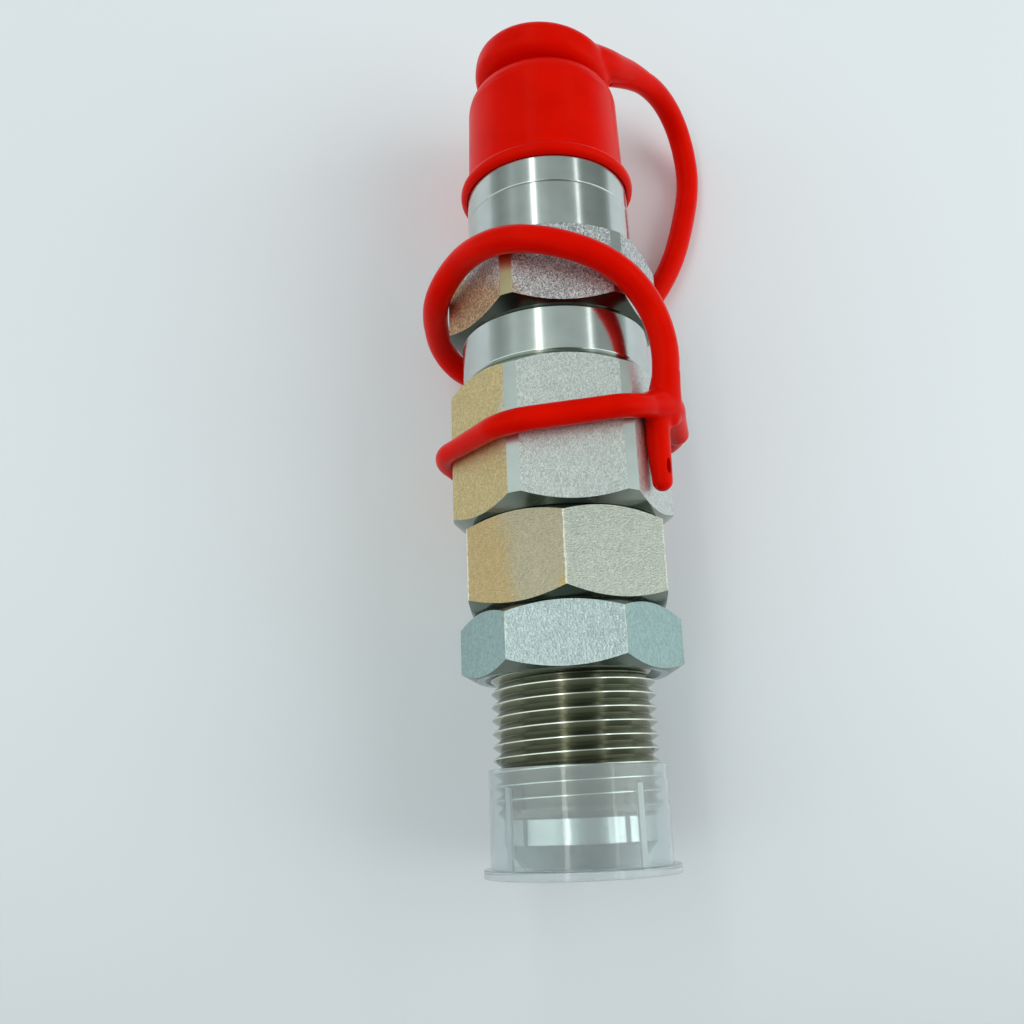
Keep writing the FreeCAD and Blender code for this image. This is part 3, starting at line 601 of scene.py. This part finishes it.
# and on the left it is stretched thinner
for point in ring.data.splines[0].points:
    point.radius = 1 - 0.16 * min(max((-point.co.x - 10 * mm) / (8 * mm), 0), 1)
ring.data.bevel_depth = 2.05 * mm
ring.data.bevel_resolution = 6
bpy.ops.object.convert(target="MESH")
arms = [
    soft_line("tether_trunk", [(16.9, 78.4, 14.2), (16.6, 75.6, 13.4), (16.3, 72.8, 12.4), (16.9, 69.6, 10.2)],
              (2.3, 2.55, 3.1, 2.4)),
    soft_line("ring_web", [(10.6, 70.2, 18.0), (13.8, 71.6, 15.2), (17.4, 72.4, 11.4), (18.9, 71.7, 6.8),
                           (21.0, 70.7, 1.5)], (1.3, 2.5, 2.8, 2.3, 1.9)),
    soft_line("tether_tab", [(15.6, 73.4, 13.2), (15.0, 70.0, 12.2), (14.9, 64.6, 12.0), (15.1, 60.0, 11.9)],
              (2.0, 2.1, 2.05, 1.8)),
]
for arm in arms:
    fill_out(arm, 1)
bpy.ops.object.select_all(action="DESELECT")
bpy.ops.mesh.primitive_uv_sphere_add(segments=32, ring_count=16, radius=1.8 * mm,
                                     location=(15.1 * mm, 59.2 * mm, 11.9 * mm))
join_to(ring, *arms, bpy.context.object)
finish_with(ring, "REMESH", mode="VOXEL", voxel_size=voxel)
finish_with(ring, "SMOOTH", factor=0.5, iterations=40)
bpy.ops.object.select_all(action="DESELECT")
bpy.ops.mesh.primitive_cylinder_add(vertices=32, radius=0.5 * mm, depth=8 * mm,
                                    location=(15.75 * mm, 61.4 * mm, 12.5 * mm), rotation=(0, math.radians(20), 0))
slot = bpy.context.object
slot.scale = (0.9, 2.7, 1)
bpy.ops.object.transform_apply(location=True, rotation=True, scale=True)
cut_with(ring, slot, "DIFFERENCE")
bpy.ops.object.shade_smooth_by_angle(angle=math.radians(40))
coat(ring, vinyl)
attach(ring, "body")
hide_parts("tether_ring")

# Thread protector
# A thin milky clear moulding pushed over the stem's end: a flange at the closed end, a plain sleeve, and
# four ribs inside that grip the thread.
milky, milky_tree, haze, place = new_finish("milky_clear")
haze["Base Color"].default_value = (0.90, 0.96, 0.97, 1)
haze["Transmission Weight"].default_value = 0.83
haze["IOR"].default_value = 1.45
milky_tree.links.new(spread_over(milky_tree, uneven(milky_tree, place, 300), 0, 1, 0.06, 0.10), haze["Roughness"])
milky_rib = milky.copy()
milky_rib.name = "milky_rib"
milky_rib.node_tree.nodes["Principled BSDF"].inputs["Transmission Weight"].default_value = 0.25
protector = turn_on_lathe("thread_protector_clear", [
    (pole, -1.4), (15.5, -1.4), (15.5, -0.06), (14.355, -0.06), (14.355, 14.9), (13.855, 14.9), (13.855, -0.3),
    (pole, -0.3)])
break_edges(protector, 0.12)
coat(protector, milky)
ribs = []
for angle in (34, 124, 214, 304):
    bpy.ops.object.select_all(action="DESELECT")
    bpy.ops.mesh.primitive_cube_add(size=1, location=(0, 5.85 * mm, 13.85 * mm))
    rib = bpy.context.object
    rib.scale = (1.1 * mm, 12.3 * mm, 0.5 * mm)
    bpy.ops.object.transform_apply(location=True, rotation=True, scale=True)
    rib.rotation_euler = (0, math.radians(angle), 0)
    bpy.ops.object.transform_apply(location=True, rotation=True, scale=True)
    coat(rib, milky_rib)
    ribs.append(rib)
join_to(protector, *ribs)
bpy.ops.object.shade_smooth_by_angle(angle=math.radians(30))
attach(protector, "protector")
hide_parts("thread_protector")

# Springs
# Three compression springs of drawn steel wire with a grey sheen: the front valve's, the second valve's and
# the small one behind the relief pin.


def drawn_wire():
    """Grey drawn steel."""
    finish, tree, skin, place = new_finish("drawn_spring_wire")
    skin["Metallic"].default_value = 1.0
    skin["Roughness"].default_value = 0.32
    tone = toned(tree, uneven(tree, place, 1500), (0.26, 0.26, 0.27, 1), (0.52, 0.52, 0.53, 1), 0, 1)
    tree.links.new(tone, skin["Base Color"])
    return finish


def coil_spring(name, diameter, thickness, turns, start, end):
    """Round wire wound along the axis, with both ends closed."""
    bpy.ops.object.select_all(action="DESELECT")
    bpy.ops.mesh.primitive_circle_add(vertices=12, radius=thickness / 2 * mm,
                                      location=(diameter / 2 * mm, (start + thickness / 2) * mm, 0))
    coil = bpy.context.object
    coil.name = name
    bpy.ops.object.transform_apply(location=True, rotation=True, scale=True)
    finish_with(coil, "SCREW", axis="Y", screw_offset=(end - start - thickness) / turns * mm, iterations=turns,
                steps=40, render_steps=40, use_merge_vertices=False)
    bpy.ops.object.mode_set(mode="EDIT")
    bpy.ops.mesh.select_all(action="SELECT")
    bpy.ops.mesh.remove_doubles(threshold=1e-6)
    bpy.ops.mesh.select_non_manifold()
    bpy.ops.mesh.edge_face_add()
    merge_and_face_out(1e-6)
    bpy.ops.object.shade_smooth_by_angle(angle=math.radians(40))
    coat(coil, wire)
    return coil


wire = drawn_wire()
front_coil = coil_spring("front_spring_coil", 12.8, 1.5, 8, 104.1, 131.3)
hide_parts("front_spring")
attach(front_coil, "body")
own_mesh(front_coil)
rear_coil = coil_spring("rear_spring_coil", 12.6, 1.3, 5, 45.1, 60.4)
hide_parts("rear_spring")
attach(rear_coil, "body")
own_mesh(rear_coil)
pin_coil = coil_spring("pilot_spring_coil", 2.9, 0.45, 9, 46.3, 56.45)
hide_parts("pilot_spring")
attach(pin_coil, "second_valve")
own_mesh(pin_coil)

# Valves, guides and seals
# Inside pieces that keep their solids: the valves, the relief pin and its plug are turned and plated, the
# spider guides are brass, the clip is spring steel, and the seals are rubber with white backup rings.


def plain_finish(name, dark, light, metallic, roughness, grain):
    """A finish whose colour and roughness drift a little over the piece."""
    finish, tree, skin, place = new_finish(name)
    skin["Metallic"].default_value = metallic
    drift = uneven(tree, place, grain, 4)
    tree.links.new(toned(tree, drift, dark, light), skin["Base Color"])
    tree.links.new(spread_over(tree, drift, 0, 1, roughness - 0.06, roughness + 0.06), skin["Roughness"])
    return finish


brass = plain_finish("turned_brass", (0.60, 0.44, 0.20, 1), (0.76, 0.60, 0.30, 1), 1.0, 0.28, 700)
rubber = plain_finish("nitrile_rubber", (0.012, 0.012, 0.012, 1), (0.035, 0.035, 0.036, 1), 0.0, 0.55, 900)
white_ring = plain_finish("white_backup", (0.78, 0.78, 0.74, 1), (0.88, 0.88, 0.85, 1), 0.0, 0.45, 500)
for names, finish in ((("face_poppet", "rear_valve", "pilot_pin", "pilot_plug"), turned),
                      (("front_guide", "rear_guide"), brass), (("guide_clip",), wire),
                      (("face_seal", "rear_valve_seal", "nose_o_ring", "front_o_ring", "rear_o_ring"), rubber),
                      (("front_backup_ring", "rear_backup_ring"), white_ring)):
    for name in names:
        coat(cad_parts[name], finish)

# Surface and light
# A plain pale surface whose colour darkens far behind the stem, as painted shade. Two long tubes overhead draw the
# two streaks on the turned metal, two soft panels at the sides fill the shadows, and a grey light tent gives the
# rest.
surface_top, surface_size = -22.3, 3
bpy.ops.mesh.primitive_plane_add(size=surface_size, location=(0, 0.07, surface_top * mm))
surface = bpy.context.object
surface.name = "pale_surface"
pale, pale_tree, paper, place = new_finish("pale_surface")
paper["Roughness"].default_value = 0.7
across = pale_tree.nodes.new("ShaderNodeSeparateXYZ")
pale_tree.links.new(place, across.inputs["Vector"])
# the surface's colour darkens far behind the stem: painted shade
painted_shade_fade = spread_over(pale_tree, across.outputs["Y"], -0.40, 0.01, interpolation="SMOOTHSTEP")
pale_tree.links.new(toned(pale_tree, painted_shade_fade, (0.05, 0.055, 0.05, 1), (0.86, 0.875, 0.915, 1), 0, 1),
                    paper["Base Color"])
coat(surface, pale)


def light_box(name, place, turn, width, length, power, colour):
    """A lit panel, turned down towards the coupler by some degrees."""
    lamp = bpy.data.lights.new(name, "AREA")
    lamp.shape = "RECTANGLE"
    lamp.size = width
    lamp.size_y = length
    lamp.energy = power
    lamp.color = colour
    box = bpy.data.objects.new(name, lamp)
    scene.collection.objects.link(box)
    box.location = place
    box.rotation_euler = (0, math.radians(turn), 0)
    return box


light_box("left_tube", (-0.250, -0.10, 0.55), -24, 0.060, 2.4, 1.22, (1.0, 0.99, 0.97))
light_box("right_tube", (0.420, -0.10, 0.55), 37, 0.052, 2.4, 0.57, (0.97, 0.99, 1.0))
for name, side, power in (("right_fill", 1, 1.45), ("left_fill", -1, 0.40)):
    fill = light_box(name, (0.60 * side, 0.05, 0.30), 62 * side, 0.50, 0.60, power, (1.0, 1.0, 1.0))
    fill.visible_glossy = False
tent = bpy.data.worlds.new("light_tent")
scene.world = tent
tent.use_nodes = True
tent_nodes, tent_links = tent.node_tree.nodes, tent.node_tree.links
tent_strength = 1.22
heading = tent_nodes.new("ShaderNodeSeparateXYZ")
tent_links.new(tent_nodes.new("ShaderNodeTexCoord").outputs["Generated"], heading.inputs["Vector"])
roll = tent_nodes.new("ShaderNodeMath")
roll.operation = "ARCTAN2"
tent_links.new(heading.outputs["X"], roll.inputs[0])
tent_links.new(heading.outputs["Z"], roll.inputs[1])


def tent_panels(value, first, last, tones):
    """Slightly green greys that follow one another over a range of a value."""
    ramp = tent_nodes.new("ShaderNodeValToRGB")
    ramp.color_ramp.interpolation = "EASE"
    stops = ramp.color_ramp.elements
    stops.remove(stops[1])
    for level, tone in tones:
        share = (level - first) / (last - first)
        stop = stops.new(share) if level > tones[0][0] else stops[0]
        stop.position = share
        stop.color = (tone * 0.94, tone, tone * 0.985, 1)
    tent_links.new(spread_over(tent.node_tree, value, first, last), ramp.inputs["Fac"])
    return ramp.outputs["Color"]


def mixed_panels(first, second, way, factor=None):
    """Two sets of panels blended."""
    mix = tent_nodes.new("ShaderNodeMix")
    mix.data_type = "RGBA"
    mix.blend_type = way
    mix.inputs["Factor"].default_value = 1
    if factor:
        tent_links.new(factor, mix.inputs["Factor"])
    tent_links.new(first, mix.inputs["A"])
    tent_links.new(second, mix.inputs["B"])
    return mix.outputs["Result"]


near_panels = tent_panels(roll.outputs["Value"], -math.pi, math.pi, [
    (-1.60, 0.80), (-1.20, 0.95), (-0.50, 1.05), (-0.28, 0.85), (-0.08, 0.42), (0.10, 0.32), (0.40, 0.36),
    (0.60, 0.90), (1.20, 1.15), (1.60, 1.15)])
far_panels = tent_panels(roll.outputs["Value"], -math.pi, math.pi, [
    (-1.60, 0.52), (-1.34, 0.36), (-1.15, 0.44), (-0.98, 0.65), (-0.79, 0.54), (-0.42, 0.70), (-0.20, 0.64),
    (0.0, 0.54), (0.35, 0.52), (0.66, 0.60), (0.86, 0.36), (1.40, 0.30), (1.60, 0.52)])
end_panels = tent_panels(heading.outputs["Y"], -1, 1, [
    (-1.0, 0.02), (-0.86, 0.05), (-0.6, 0.25), (-0.25, 1.0), (0.30, 1.0), (0.45, 0.80), (0.58, 0.68),
    (0.76, 0.46), (1.0, 0.4)])
towards_cap = spread_over(tent.node_tree, heading.outputs["Y"], 0.15, 0.42, interpolation="SMOOTHSTEP")
side_panels = mixed_panels(near_panels, far_panels, "MIX", towards_cap)
tent_links.new(mixed_panels(side_panels, end_panels, "MULTIPLY"), tent_nodes["Background"].inputs["Color"])
tent_nodes["Background"].inputs["Strength"].default_value = tent_strength
